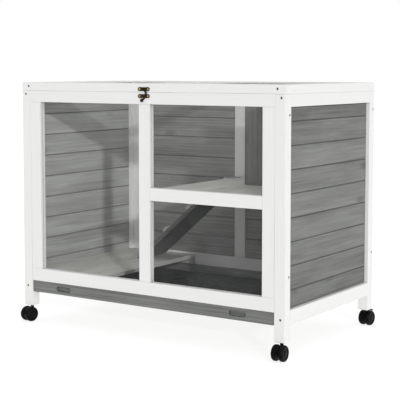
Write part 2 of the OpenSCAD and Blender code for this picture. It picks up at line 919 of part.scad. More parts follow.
module castor_wheels() {
  color(black)
    translate([trail, 0, wheel_r])
      for (sy = [-1, 1])
        rotate([-90 * sy, 0, 0])
          translate([0, 0, wheel_in])
            rotate_extrude()
              wheel_outline();
  color(zinc)
    rod_y([trail, -wheels_w / 2 + 1.5, wheel_r], axle_r, wheels_w - 3);
}

// Brake lever: a pedal over the wheels with a tongue in the slot of the housing
module brake_lever() {
  tip = trail + wheel_r + 2;
  color(black)
    difference() {
      union() {
        translate([0, lever_w / 2, 0])
          rotate([90, 0, 0])
            linear_extrude(lever_w)
              polygon([[lever_pivot_x - 1, wheel_r + 22.8], [lever_pivot_x + 5, wheel_r + 22.4],
                [tip - 1, wheel_r + 17.4], [tip, wheel_r + 18.6], [tip + 1.4, wheel_r + 21.4],
                [tip - 0.4, wheel_r + 21], [lever_pivot_x + 5.4, wheel_r + 25.2],
                [lever_pivot_x - 1, wheel_r + 25.6]]);
        translate([0, lever_slot / 2 - 0.2, 0])
          rotate([90, 0, 0])
            linear_extrude(lever_slot - 0.4)
              polygon([[lever_pivot_x - 2.6, lever_pivot_z - 2.6],
                [lever_pivot_x + 2.6, lever_pivot_z - 2.6],
                [lever_pivot_x + 5, wheel_r + 23], [lever_pivot_x - 1, wheel_r + 23]]);
      }
      rod_y([lever_pivot_x, -web_t, lever_pivot_z], lever_pin_r + 0.05, 2 * web_t);
    }
}

module castor_housing_fl() { at_castor(-1, -1, heading_fl) castor_housing(false); }
module castor_housing_fr() { at_castor(1, -1, heading_fr) castor_housing(false); }
module castor_housing_rl() { at_castor(-1, 1, heading_rl) castor_housing(true); }
module castor_housing_rr() { at_castor(1, 1, heading_rr) castor_housing(true); }
module castor_wheels_fl() { at_castor(-1, -1, heading_fl) castor_wheels(); }
module castor_wheels_fr() { at_castor(1, -1, heading_fr) castor_wheels(); }
module castor_wheels_rl() { at_castor(-1, 1, heading_rl) castor_wheels(); }
module castor_wheels_rr() { at_castor(1, 1, heading_rr) castor_wheels(); }
module brake_lever_rl() { at_castor(-1, 1, heading_rl) brake_lever(); }
module brake_lever_rr() { at_castor(1, 1, heading_rr) brake_lever(); }

post_front_left();
post_front_right();
post_rear_left();
post_rear_right();
front_top_rail();
front_bottom_rail();
front_mid_rail();
front_left_stile();
front_mid_stile();
front_right_stile();
window_left();
window_upper();
window_lower();
rear_top_rail();
rear_bottom_rail();
rear_stiles();
rear_boards();
side_top_rails();
side_bottom_rails();
left_boards();
right_boards();
lid_front_rail();
lid_rear_rail();
lid_side_rails();
lid_mid_bar();
lid_mesh_left();
lid_mesh_right();
lid_hinge_leaves();
frame_hinge_leaves();
lid_hinge_pins();
latch_plate();
latch_hook();
latch_keeper();
lid_screws();
frame_screws();
tray_front();
tray_frame();
tray_base();
tray_liner_left();
tray_liner_right();
tray_runners();
lower_floor();
upper_deck();
shelf_bearers();
nook_board();
ramp_board();
ramp_cleats();
ramp_hinge_leaf();
deck_hinge_leaf();
castor_housing_fl();
castor_housing_fr();
castor_housing_rl();
castor_housing_rr();
castor_wheels_fl();
castor_wheels_fr();
castor_wheels_rl();
castor_wheels_rr();
brake_lever_rl();
brake_lever_rr();
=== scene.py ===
import json
import math
import random

import bmesh
import bpy
from bpy.props import FloatProperty, FloatVectorProperty, IntProperty, PointerProperty
from mathutils import Matrix, Vector


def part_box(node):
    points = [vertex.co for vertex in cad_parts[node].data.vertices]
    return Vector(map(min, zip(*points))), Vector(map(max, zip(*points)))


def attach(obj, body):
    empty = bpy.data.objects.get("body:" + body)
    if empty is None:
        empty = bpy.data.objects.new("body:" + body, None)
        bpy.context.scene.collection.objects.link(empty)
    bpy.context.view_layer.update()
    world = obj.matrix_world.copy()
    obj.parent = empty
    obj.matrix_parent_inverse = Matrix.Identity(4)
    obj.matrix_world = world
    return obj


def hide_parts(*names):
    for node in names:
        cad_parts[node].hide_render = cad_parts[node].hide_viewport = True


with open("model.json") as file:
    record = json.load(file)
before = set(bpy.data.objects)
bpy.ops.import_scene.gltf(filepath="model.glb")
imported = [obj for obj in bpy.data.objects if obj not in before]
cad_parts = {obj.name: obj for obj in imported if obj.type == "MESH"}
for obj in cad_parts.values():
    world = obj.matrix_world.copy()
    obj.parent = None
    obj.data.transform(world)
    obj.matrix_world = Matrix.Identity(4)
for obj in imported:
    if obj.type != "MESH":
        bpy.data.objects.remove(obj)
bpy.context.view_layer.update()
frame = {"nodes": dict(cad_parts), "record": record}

bl_info = {
    "name": "Rabbit hutch",
    "version": (1, 0, 0),
    "blender": (4, 5, 0),
    "location": "3D View > Sidebar > Hutch",
    "description": "Finishes the wood, wire, panes, hardware, tray and castors of the hutch",
    "category": "Object",
}

MM = 0.001
X, Y = 0, 1
BODY_OF = {
    node: body
    for body, nodes in frame["record"]["behaviour"]["bodies"].items()
    for node in nodes
}


# Sizes and colours


class HutchSizes(bpy.types.PropertyGroup):
    """Sizes of the finish, in metres"""

    wood_round: FloatProperty(
        name="Eased edge", description="Rounding of the edges of rails, posts and boards",
        default=0.0010, min=0.0002, max=0.003, precision=4, unit="LENGTH", subtype="DISTANCE")
    metal_round: FloatProperty(
        name="Metal edge", description="Rounding of the edges of hinges and latch",
        default=0.00025, min=0.0001, max=0.001, precision=5, unit="LENGTH", subtype="DISTANCE")
    plastic_round: FloatProperty(
        name="Moulded edge", description="Rounding of the edges of moulded plastic",
        default=0.0006, min=0.0001, max=0.002, precision=4, unit="LENGTH", subtype="DISTANCE")
    mesh_pitch: FloatProperty(
        name="Mesh spacing", description="Distance from one wire of the lid to the next",
        default=0.025, min=0.015, max=0.04, precision=4, unit="LENGTH", subtype="DISTANCE")
    wire_d: FloatProperty(
        name="Wire", description="Diameter of the wires of the lid",
        default=0.0018, min=0.001, max=0.003, precision=4, unit="LENGTH", subtype="DISTANCE")
    wheel_steps: IntProperty(
        name="Wheel steps", description="Steps round a castor wheel",
        default=56, min=24, max=96)


def colour(name, description, value):
    """A colour property with a default."""
    return FloatVectorProperty(name=name, description=description, default=value,
                               size=3, min=0, max=1, subtype="COLOR")


class HutchColours(bpy.types.PropertyGroup):
    """Colours of the finishes"""

    paint: colour("Paint", "White paint of the frame", (0.705, 0.705, 0.70))
    paint_thin: colour("Thin paint", "Paint where it is worn thin", (0.53, 0.52, 0.50))
    # The seam colour is painted shade: it stands for the shadow in the V seams between boards and on the
    # sides of routed grips.
    seam: colour("Seams", "Stain gathered in the seams between boards", (0.075, 0.077, 0.073))
    stain_dark: colour("Stain, dark", "Dark streaks of the outer boards", (0.106, 0.109, 0.102))
    stain_light: colour("Stain, light", "Light streaks of the outer boards", (0.206, 0.211, 0.197))
    # The inner colours are the outer stain painted lighter, as painted light inside the hutch; the rear
    # wall's inside is painted darker than the side walls', as painted shade.
    inner_dark: colour("Inner face, dark", "Dark streaks of the inner faces", (0.255, 0.26, 0.248))
    inner_light: colour("Inner face, light", "Light streaks of the inner faces", (0.45, 0.457, 0.435))
    rear_dark: colour("Rear wall inside, dark", "Dark streaks inside the rear wall", (0.175, 0.178, 0.17))
    rear_light: colour("Rear wall inside, light", "Light streaks inside the rear wall", (0.315, 0.32, 0.306))
    shelf_dark: colour("Shelf, dark", "Dark streaks of floor and deck", (0.315, 0.313, 0.293))
    shelf_light: colour("Shelf, light", "Light streaks of floor and deck", (0.55, 0.546, 0.513))
    tray_dark: colour("Tray, dark", "Dark streaks of the tray front", (0.10, 0.103, 0.098))
    tray_light: colour("Tray, light", "Light streaks of the tray front", (0.20, 0.205, 0.195))
    ramp_dark: colour("Ramp, dark", "Dark streaks of the ramp", (0.065, 0.066, 0.063))
    ramp_light: colour("Ramp, light", "Light streaks of the ramp", (0.14, 0.142, 0.135))
    plastic: colour("Black plastic", "Pans and castors", (0.007, 0.007, 0.0073))
    bronze: colour("Bronze", "Latch", (0.030, 0.024, 0.018))
    brass: colour("Brass", "Screws", (0.12, 0.078, 0.034))
    zinc: colour("Zinc", "Hinges and mesh", (0.50, 0.51, 0.52))


# Nodes of the materials


def add(tree, kind, sockets=None, **settings):
    """A new node with its settings, its sockets set to numbers or linked to other sockets."""
    made = tree.nodes.new(kind)
    for key, value in settings.items():
        setattr(made, key, value)
    for key, value in (sockets or {}).items():
        if isinstance(value, bpy.types.NodeSocket):
            tree.links.new(value, made.inputs[key])
        else:
            made.inputs[key].default_value = value
    return made


def math_node(tree, operation, a, b=0.0, c=0.0):
    """The result of a Math node, such as MULTIPLY, on up to three values."""
    return add(tree, "ShaderNodeMath", {0: a, 1: b, 2: c}, operation=operation).outputs[0]


def spread(tree, value, low, high, to_low=0.0, to_high=1.0):
    """Stretches the part of a value from low to high over to_low to to_high."""
    return add(tree, "ShaderNodeMapRange",
               {"Value": value, "From Min": low, "From Max": high,
                "To Min": to_low, "To Max": to_high}).outputs["Result"]


def blend_colours(tree, factor, a, b):
    """A mix of two colours, from a at 0 to b at 1."""
    made = add(tree, "ShaderNodeMix", data_type="RGBA")
    for socket, value in ((made.inputs[0], factor), (made.inputs[6], a), (made.inputs[7], b)):
        if isinstance(value, bpy.types.NodeSocket):
            tree.links.new(value, socket)
        else:
            socket.default_value = value if socket == made.inputs[0] else (*value, 1.0)
    return made.outputs[2]


def new_material(name):
    """An empty material and its Principled shader."""
    material = bpy.data.materials.new(name)
    material.use_nodes = True
    tree = material.node_tree
    tree.nodes.clear()
    shader = add(tree, "ShaderNodeBsdfPrincipled")
    output = add(tree, "ShaderNodeOutputMaterial", {"Surface": shader.outputs[0]})
    output.target = "ALL"
    return material, tree, shader


def attribute(tree, name):
    """A number stored on the faces or vertices of the piece."""
    return add(tree, "ShaderNodeAttribute", attribute_name=name).outputs["Fac"]


def noise(tree, vector, scale, detail=3.0, roughness=0.5, distortion=0.0):
    """Cloudy noise between 0 and 1."""
    return add(tree, "ShaderNodeTexNoise",
               {"Vector": vector, "Scale": scale, "Detail": detail, "Roughness": roughness,
                "Distortion": distortion}).outputs["Fac"]


def grain_fields(tree, axis):
    """Streaks, fibres, clouds, growth lines and knots along an axis, new on every board."""
    here = add(tree, "ShaderNodeTexCoord").outputs["Object"]
    jump = add(tree, "ShaderNodeVectorMath", {0: (13.7, 7.9, 5.3), "Scale": attribute(tree, "board")},
               operation="SCALE").outputs[0]
    place = add(tree, "ShaderNodeVectorMath", {0: here, 1: jump}, operation="ADD").outputs[0]

    def stretched(along, across):
        scale = [across] * 3
        scale[axis] = along
        return add(tree, "ShaderNodeMapping", {"Vector": place, "Scale": scale}).outputs[0]

    lines = add(tree, "ShaderNodeTexWave",
                {"Vector": stretched(1.6, 34.0), "Scale": 1.0, "Distortion": 9.0, "Detail": 3.0,
                 "Detail Scale": 0.8, "Detail Roughness": 0.6},
                wave_type="BANDS", bands_direction="XYZ"[(axis + 2) % 3]).outputs["Fac"]
    eyes = add(tree, "ShaderNodeTexVoronoi", {"Vector": stretched(5.0, 11.0), "Scale": 1.0},
               feature="F1").outputs["Distance"]
    return {
        "streaks": noise(tree, stretched(4.5, 150.0), 1.0, 5.0, 0.62, 0.25),
        "fibres": noise(tree, stretched(28.0, 950.0), 1.0, 3.0, 0.6),
        "clouds": noise(tree, stretched(5.5, 22.0), 1.0, 3.0, 0.5, 0.4),
        "lines": lines,
        "knots": spread(tree, eyes, 0.05, 0.16, 1.0, 0.0),
    }


def painted_wood(name, axis, paint, thin):
    """Satin white paint over softwood: faint grain, brush marks and thin edges."""
    material, tree, shader = new_material(name)
    field = grain_fields(tree, axis)
    tone = spread(tree, math_node(tree, "MULTIPLY_ADD", field["clouds"], 0.6, field["streaks"]),
                  0.45, 1.15, 0.0, 0.16)
    base = blend_colours(tree, tone, paint, thin)
    edge = math_node(tree, "MULTIPLY", attribute(tree, "edge"),
                     spread(tree, field["streaks"], 0.42, 0.66, 0.05, 0.75))
    base = blend_colours(tree, edge, base, thin)
    tree.links.new(base, shader.inputs["Base Color"])
    tree.links.new(spread(tree, field["streaks"], 0.3, 0.7, 0.38, 0.52), shader.inputs["Roughness"])
    relief = math_node(tree, "MULTIPLY_ADD", field["fibres"], 0.4, field["streaks"])
    bump = add(tree, "ShaderNodeBump", {"Strength": 0.22, "Distance": 0.0005, "Height": relief})
    tree.links.new(bump.outputs[0], shader.inputs["Normal"])
    shader.inputs["Specular IOR Level"].default_value = 0.4
    return material


def stained_wood(name, axis, dark, light, seam, inner, depth, variety):
    """Grey stain on softwood: grain and knots show, each board has its tone. Inside faces get lighter
    colours as painted light; seams and routed grips get painted shade.
    """
    material, tree, shader = new_material(name)
    field = grain_fields(tree, axis)
    tone = math_node(tree, "MULTIPLY", field["streaks"], 0.62)
    tone = math_node(tree, "MULTIPLY_ADD", field["clouds"], 0.34, tone)
    tone = math_node(tree, "MULTIPLY_ADD", field["fibres"], 0.30, tone)
    tone = math_node(tree, "MULTIPLY_ADD", field["lines"], 0.13, tone)
    tone = spread(tree, tone, 0.46, 0.92)
    tone = math_node(tree, "MULTIPLY_ADD", field["knots"], -0.55, tone)
    board = spread(tree, attribute(tree, "board"), 0.0, 1.0, -variety / 2, variety / 2)
    tone = add(tree, "ShaderNodeMath", {0: tone, 1: board}, operation="ADD", use_clamp=True).outputs[0]
    base = blend_colours(tree, tone, dark, light)
    # Faces that look inside get the inside colours, which are painted light.
    if inner:
        inside = blend_colours(tree, tone, *inner)
        base = blend_colours(tree, attribute(tree, "inner"), base, inside)
    rubbed = math_node(tree, "MULTIPLY", attribute(tree, "edge"),
                       spread(tree, field["streaks"], 0.4, 0.65, 0.0, 0.3))
    base = blend_colours(tree, rubbed, base, [min(1.0, c * 1.4) for c in light])
    # Painted shade: V seams and the sides of routed grips are darkened towards the seam colour.
    sunk = math_node(tree, "MULTIPLY", attribute(tree, "groove"),
                     spread(tree, field["streaks"], 0.3, 0.7, 0.85, 0.5))
    base = blend_colours(tree, sunk, base, seam)
    tree.links.new(base, shader.inputs["Base Color"])
    tree.links.new(spread(tree, field["fibres"], 0.3, 0.7, 0.58, 0.8), shader.inputs["Roughness"])
    relief = math_node(tree, "MULTIPLY_ADD", field["fibres"], 0.7, field["streaks"])
    bump = add(tree, "ShaderNodeBump", {"Strength": depth, "Distance": 0.0006, "Height": relief})
    tree.links.new(bump.outputs[0], shader.inputs["Normal"])
    shader.inputs["Specular IOR Level"].default_value = 0.25
    return material


def moulded_plastic(name, colour_value, rough, texture, gloss):
    """Black moulded plastic with a fine spark-eroded texture, dull patches and scuffs."""
    material, tree, shader = new_material(name)
    here = add(tree, "ShaderNodeTexCoord").outputs["Object"]
    patches = noise(tree, here, 45.0, 4.0, 0.6, 0.4)
    pits = noise(tree, here, 1900.0, 2.0, 0.6)
    scuff_place = add(tree, "ShaderNodeMapping", {"Vector": here, "Rotation": (0.4, 0.7, 0.9),
                                                  "Scale": (60.0, 900.0, 60.0)}).outputs[0]
    scuffs = spread(tree, noise(tree, scuff_place, 1.0, 2.0, 0.5), 0.66, 0.78, 0.0, 0.25)
    worn = [c * 2.0 + 0.002 for c in colour_value]
    tone = math_node(tree, "MULTIPLY_ADD", patches, 0.3, scuffs)
    tree.links.new(blend_colours(tree, tone, colour_value, worn), shader.inputs["Base Color"])
    tree.links.new(spread(tree, patches, 0.3, 0.7, rough - 0.07, rough + 0.1),
                   shader.inputs["Roughness"])
    bump = add(tree, "ShaderNodeBump", {"Strength": texture, "Distance": 0.0002, "Height": pits})
    tree.links.new(bump.outputs[0], shader.inputs["Normal"])
    shader.inputs["Specular IOR Level"].default_value = gloss
    return material


def plated_metal(name, colour_value, worn, rough, scale, polished):
    """Plated or patinated metal: mottled tone, worn bright edges, fine pitting."""
    material, tree, shader = new_material(name)
    here = add(tree, "ShaderNodeTexCoord").outputs["Object"]
    mottle = noise(tree, here, scale, 5.0, 0.6, 0.8)
    pits = noise(tree, here, scale * 8, 2.0, 0.5)
    base = blend_colours(tree, spread(tree, mottle, 0.38, 0.72, 0.0, 0.55), colour_value, worn)
    if polished:
        base = blend_colours(tree, attribute(tree, "polished"), base, polished)
    edge = math_node(tree, "MULTIPLY", attribute(tree, "edge"),
                     spread(tree, mottle, 0.35, 0.6, 0.2, 0.9))
    base = blend_colours(tree, edge, base, worn)
    tree.links.new(base, shader.inputs["Base Color"])
    tree.links.new(spread(tree, mottle, 0.3, 0.7, rough - 0.08, rough + 0.14),
                   shader.inputs["Roughness"])
    bump = add(tree, "ShaderNodeBump", {"Strength": 0.25, "Distance": 0.0001, "Height": pits})
    tree.links.new(bump.outputs[0], shader.inputs["Normal"])
    shader.inputs["Metallic"].default_value = 1.0
    return material


def clear_sheet(name):
    """Clear acrylic sheet with a trace of dust and polish marks."""
    material, tree, shader = new_material(name)
    here = add(tree, "ShaderNodeTexCoord").outputs["Object"]
    dust = noise(tree, here, 14.0, 5.0, 0.7, 1.2)
    tree.links.new(blend_colours(tree, spread(tree, dust, 0.4, 0.7), (0.22, 0.23, 0.23),
                                 (0.42, 0.43, 0.43)), shader.inputs["Base Color"])
    tree.links.new(spread(tree, dust, 0.35, 0.7, 0.03, 0.09), shader.inputs["Roughness"])
    shader.inputs["Alpha"].default_value = 0.045
    shader.inputs["Specular IOR Level"].default_value = 0.5
    return material


def pale_ground(name):
    """Pale studio floor, lit a little from within like a light table."""
    material, tree, shader = new_material(name)
    here = add(tree, "ShaderNodeTexCoord").outputs["Object"]
    tone = noise(tree, here, 3.0, 3.0, 0.5)
    tree.links.new(blend_colours(tree, tone, (0.23, 0.23, 0.23), (0.25, 0.25, 0.25)),
                   shader.inputs["Base Color"])
    shader.inputs["Roughness"].default_value = 0.9
    shader.inputs["Specular IOR Level"].default_value = 0.1
    shader.inputs["Emission Color"].default_value = (1.0, 1.0, 1.0, 1.0)
    shader.inputs["Emission Strength"].default_value = 0.8
    return material


# Stained finishes: dark and light streaks, inside streaks (the same stain painted lighter as painted light,
# less so on the rear wall as painted shade) or none, depth of grain, spread of tones
STAINS = {
    "wall": ("stain_dark", "stain_light", ("inner_dark", "inner_light"), 0.35, 0.6),
    "rearwall": ("stain_dark", "stain_light", ("rear_dark", "rear_light"), 0.35, 0.6),
    "ramp": ("ramp_dark", "ramp_light", None, 0.3, 0.2),
    "shelf": ("shelf_dark", "shelf_light", None, 0.25, 0.3),
    "drawer": ("tray_dark", "tray_light", None, 0.3, 0.2),
}
# Black plastics: share of the base colour, roughness, texture, gloss
PLASTICS = {
    "pan_plastic": (1.2, 0.5, 0.5, 0.3),
    "castor_plastic": (0.35, 0.24, 0.2, 0.08),
    "wheel_plastic": (0.4, 0.28, 0.3, 0.06),
}
# Metals: base colour and share of it, colour where worn, roughness, scale of the mottle, polished
METALS = {
    "latch_bronze": ("bronze", 1.0, (0.09, 0.07, 0.05), 0.42, 260.0, None),
    "screw_brass": ("brass", 1.0, (0.30, 0.21, 0.10), 0.36, 260.0, (0.62, 0.48, 0.22)),
    "hinge_zinc": ("zinc", 1.0, (0.72, 0.73, 0.74), 0.34, 260.0, None),
    "wire_zinc": ("zinc", 0.9, (0.68, 0.69, 0.7), 0.36, 160.0, None),
}


def finish_for(key):
    """The material for a finish, made on first use. Wood finishes end in the grain's axis."""
    if key in bpy.data.materials:
        return bpy.data.materials[key]
    colours = bpy.context.scene.hutch_colours
    rgb = {name: tuple(getattr(colours, name)) for name in HutchColours.__annotations__}
    kind, _, letter = key.rpartition("_")
    if kind == "paint":
        return painted_wood(key, "xyz".index(letter), rgb["paint"], rgb["paint_thin"])
    if kind in STAINS:
        dark, light, inner, depth, variety = STAINS[kind]
        inside = [rgb[name] for name in inner] if inner else None
        return stained_wood(key, "xyz".index(letter), rgb[dark], rgb[light], rgb["seam"],
                            inside, depth, variety)
    if key in PLASTICS:
        share, rough, texture, gloss = PLASTICS[key]
        return moulded_plastic(key, [c * share for c in rgb["plastic"]], rough, texture, gloss)
    if key in METALS:
        base, share, worn, rough, scale, polished = METALS[key]
        return plated_metal(key, [c * share for c in rgb[base]], worn, rough, scale, polished)
    if key == "clear_acrylic":
        return clear_sheet(key)
    if key == "ground_pale":
        return pale_ground(key)
    raise RuntimeError(f"no finish named {key}")


# Making pieces

WELD = 0.002 * MM           # vertices nearer than this are joined
SEAM_WIDTH = 1.2 * MM       # slanted faces wider than this are the V joints between boards
GRIP_MARGIN = 2 * MM        # routed grips stay at least this far inside their board
LATCH_REACH = 30 * MM       # front screws this near to the middle belong to the latch


def cad_copy(node):
    """A welded copy of a CAD node with its flat faces joined."""
    bm = bmesh.new()
    bm.from_mesh(frame["nodes"][node].data)
    bmesh.ops.remove_doubles(bm, verts=bm.verts, dist=WELD)
    bmesh.ops.dissolve_limit(bm, angle_limit=math.radians(0.6), use_dissolve_boundaries=False,
                             verts=bm.verts, edges=bm.edges)
    return bm


def ease_edges(bm, width, shortest, segments=2, least_angle=28.0):
    """Rounds the outer edges that are long enough, and marks the new strips as edge."""
    edge_mark = bm.faces.layers.float.get("edge") or bm.faces.layers.float.new("edge")
    chosen = [e for e in bm.edges
              if len(e.link_faces) == 2 and e.calc_length() >= shortest
              and e.calc_face_angle_signed(0.0) > math.radians(least_angle)]
    if not chosen:
        return
    made = bmesh.ops.bevel(bm, geom=chosen, offset=width, offset_type="OFFSET", segments=segments,
                           profile=0.5, material=-1, affect="EDGES", clamp_overlap=True)
    for face in made["faces"]:
        face[edge_mark] = 1.0


def mark_boards(bm, seed, tones=()):
    """Gives every board a number from 0, dark, to 1. tones are for the boards from the top."""
    layer = bm.verts.layers.float.new("board")
    draw = random.Random(seed)
    seen = set()
    boards = []
    for start in bm.verts:
        if start in seen:
            continue
        stack = [start]
        board = []
        seen.add(start)
        while stack:
            vert = stack.pop()
            board.append(vert)
            for e in vert.link_edges:
                other = e.other_vert(vert)
                if other not in seen:
                    seen.add(other)
                    stack.append(other)
        boards.append(board)
    boards.sort(key=lambda board: -max(v.co.z for v in board))
    for place, board in enumerate(boards):
        tone = tones[place] if place < len(tones) else draw.uniform(0.3, 0.7)
        tone += draw.uniform(-0.02, 0.02)
        for vert in board:
            vert[layer] = tone


def put(bm, name, body, finish, replaces=(), smooth_angle=None):
    """Turns a bmesh into a finished piece that rides on its body."""
    mesh = bpy.data.meshes.new(name)
    bm.to_mesh(mesh)
    bm.free()
    mesh.materials.append(finish_for(finish))
    if smooth_angle:
        mesh.shade_smooth()
        mesh.set_sharp_from_angle(angle=math.radians(smooth_angle))
    piece = bpy.data.objects.new(name, mesh)
    bpy.context.scene.collection.objects.link(piece)
    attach(piece, body)
    if replaces:
        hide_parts(*replaces)
    return piece


def wooden(node, finish, seed, shortest=6 * MM, inner=None, tones=(), routed=None):
    """A wooden node with eased edges. inner is the direction that its inside faces look in,
    and routed the direction that its routed grips open in."""
    sizes = bpy.context.scene.hutch_sizes
    bm = cad_copy(node)
    ease_edges(bm, sizes.wood_round, shortest)
    mark_boards(bm, seed, tones)
    if inner:
        # Faces that look inwards are marked for the painted-light inside colours.
        layer = bm.faces.layers.float.new("inner")
        groove = bm.faces.layers.float.new("groove")
        for face in bm.faces:
            face[layer] = 1.0 if face.normal.dot(Vector(inner)) > 0.5 else 0.0
            # Slanted faces of the V seams are marked for painted shade.
            width = face.calc_area() / max(e.calc_length() for e in face.edges)
            slanted = 0.5 < abs(face.normal.z) < 0.9 and width > SEAM_WIDTH
            face[groove] = 1.0 if slanted else 0.0
    # The sides of routed grips are marked for the same painted shade.
    if routed:
        groove = bm.faces.layers.float.new("groove")
        low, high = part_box(node)
        for face in bm.faces:
            centre = face.calc_center_median()
            inside = low.z + GRIP_MARGIN < centre.z < high.z - GRIP_MARGIN
            across = abs(face.normal.dot(Vector(routed))) < 0.7
            face[groove] = 1.0 if inside and across and abs(face.normal.x) < 0.99 else 0.0
    return put(bm, "eased_" + node, BODY_OF[node], finish, [node])


def hardware(node, finish, width, shortest=0.4 * MM):
    """A metal or plastic node with its edges broken and its round faces smooth."""
    bm = cad_copy(node)
    ease_edges(bm, width, shortest, 2, 35.0)
    if node.endswith("screws"):
        layer = bm.faces.layers.float.new("polished")
        for face in bm.faces:
            centre = face.calc_center_median()
            face[layer] = 1.0 if abs(centre.x) < LATCH_REACH and centre.y < 0.0 else 0.0
    return put(bm, "finished_" + node, BODY_OF[node], finish, [node], 32.0)


class HUTCH_OT_frame(bpy.types.Operator):
    """Makes the white posts, rails and stiles"""

    bl_idname = "hutch.make_frame"
    bl_label = "Frame"

    def execute(self, context):
        uprights = ["post_front_left", "post_front_right", "post_rear_left", "post_rear_right",
                    "front_left_stile", "front_mid_stile", "front_right_stile", "rear_stiles"]
        across = ["front_top_rail", "front_bottom_rail", "front_mid_rail", "rear_top_rail",
                  "rear_bottom_rail"]
        deep = ["side_top_rails", "side_bottom_rails", "tray_runners"]
        seed = 100
        for letter, nodes in (("z", uprights), ("x", across), ("y", deep)):
            for node in nodes:
                seed += 1
                wooden(node, "paint_" + letter, seed)
        return {"FINISHED"}


class HUTCH_OT_walls(bpy.types.Operator):
    """Makes the tongued and grooved wall boards"""

    bl_idname = "hutch.make_walls"
    bl_label = "Wall boards"

    def execute(self, context):
        # The dark first tone of the left wall is a painted shadow at the top of the wall, under the lid.
        wooden("left_boards", "wall_y", 11, inner=(1, 0, 0),
               tones=(0.05, 0.4, 0.62, 0.55, 0.6, 0.5, 0.62, 0.5, 0.4))
        wooden("right_boards", "wall_y", 12, inner=(-1, 0, 0),
               tones=(0.02, 0.3, 0.75, 0.5, 0.95, 0.65, 0.65, 0.4, 0.17))
        wooden("rear_boards", "rearwall_x", 13, inner=(0, -1, 0))
        return {"FINISHED"}


class HUTCH_OT_shelves(bpy.types.Operator):
    """Makes the lower floor, the deck, the nook boards and their bearers"""

    bl_idname = "hutch.make_shelves"
    bl_label = "Floor and deck"

    def execute(self, context):
        wooden("lower_floor", "shelf_y", 21)
        wooden("upper_deck", "shelf_y", 22)
        wooden("shelf_bearers", "shelf_x", 23)
        wooden("nook_board", "drawer_z", 24)
        return {"FINISHED"}


class HUTCH_OT_ramp(bpy.types.Operator):
    """Makes the ramp, its cleats and its hinge"""

    bl_idname = "hutch.make_ramp"
    bl_label = "Ramp"

    def execute(self, context):
        sizes = context.scene.hutch_sizes
        wooden("ramp_board", "ramp_x", 31)
        wooden("ramp_cleats", "shelf_y", 32)
        for node in ("ramp_hinge_leaf", "deck_hinge_leaf"):
            hardware(node, "hinge_zinc", sizes.metal_round)
        return {"FINISHED"}


def wire(bm, start, end, radius, sides=10):
    """A round wire from one point to another."""
    line = end - start
    turn = line.to_track_quat("Z", "Y").to_matrix().to_4x4()
    place = Matrix.Translation((start + end) / 2) @ turn
    bmesh.ops.create_cone(bm, cap_ends=True, cap_tris=False, segments=sides, radius1=radius,
                          radius2=radius, depth=line.length, matrix=place)


class HUTCH_OT_lid(bpy.types.Operator):
    """Makes the lid: its rails, and its welded mesh wire by wire"""

    bl_idname = "hutch.make_lid"
    bl_label = "Lid"

    def execute(self, context):
        sizes = context.scene.hutch_sizes
        for seed, (node, letter) in enumerate((("lid_front_rail", "x"), ("lid_rear_rail", "x"),
                                               ("lid_side_rails", "y"), ("lid_mid_bar", "y"))):
            wooden(node, "paint_" + letter, 41 + seed)
        for side in ("left", "right"):
            self.welded_mesh(sizes, side)
        return {"FINISHED"}

    def welded_mesh(self, sizes, side):
        """Wires both ways, the lower ones sunk a little into the upper, with a weld where they cross."""
        low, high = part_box("lid_mesh_" + side)
        middle = (low + high) / 2
        pitch, radius = sizes.mesh_pitch, sizes.wire_d / 2
        sunk, border = 0.15 * MM, 10 * MM
        upper, lower = high.z - radius, high.z - 3 * radius + sunk
        count_x = int((high.x - low.x - border) / pitch + 1e-6)
        count_y = int((high.y - low.y - border) / pitch + 1e-6)
        xs = [middle.x + (i - count_x / 2) * pitch for i in range(count_x + 1)]
        ys = [middle.y + (j - count_y / 2) * pitch for j in range(count_y + 1)]
        bm = bmesh.new()
        for x in xs:
            wire(bm, Vector((x, low.y, upper)), Vector((x, high.y, upper)), radius)
        for y in ys:
            wire(bm, Vector((low.x, y, lower)), Vector((high.x, y, lower)), radius)
        for x in xs:
            for y in ys:
                place = Matrix.Translation((x, y, (upper + lower) / 2))
                flat = Matrix.Diagonal((1.25, 1.25, 0.9, 1.0))
                bmesh.ops.create_icosphere(bm, subdivisions=1, radius=radius, matrix=place @ flat)
        put(bm, "lid_wires_" + side, "lid", "wire_zinc", ["lid_mesh_" + side], 40.0)


class HUTCH_OT_windows(bpy.types.Operator):
    """Gives the clear panes their finish"""

    bl_idname = "hutch.make_windows"
    bl_label = "Panes"

    def execute(self, context):
        for node in ("window_left", "window_upper", "window_lower"):
            mesh = frame["nodes"][node].data
            mesh.materials.clear()
            mesh.materials.append(finish_for("clear_acrylic"))
        return {"FINISHED"}


class HUTCH_OT_hardware(bpy.types.Operator):
    """Makes the latch, the lid hinges and the screws"""

    bl_idname = "hutch.make_hardware"
    bl_label = "Latch, hinges and screws"

    def execute(self, context):
        sizes = context.scene.hutch_sizes
        for node in ("latch_plate", "latch_hook", "latch_keeper"):
            hardware(node, "latch_bronze", sizes.metal_round)
        for node in ("lid_hinge_leaves", "frame_hinge_leaves", "lid_hinge_pins"):
            hardware(node, "hinge_zinc", sizes.metal_round)
        for node in ("lid_screws", "frame_screws"):
            hardware(node, "screw_brass", sizes.metal_round * 0.8, 0.2 * MM)
        return {"FINISHED"}


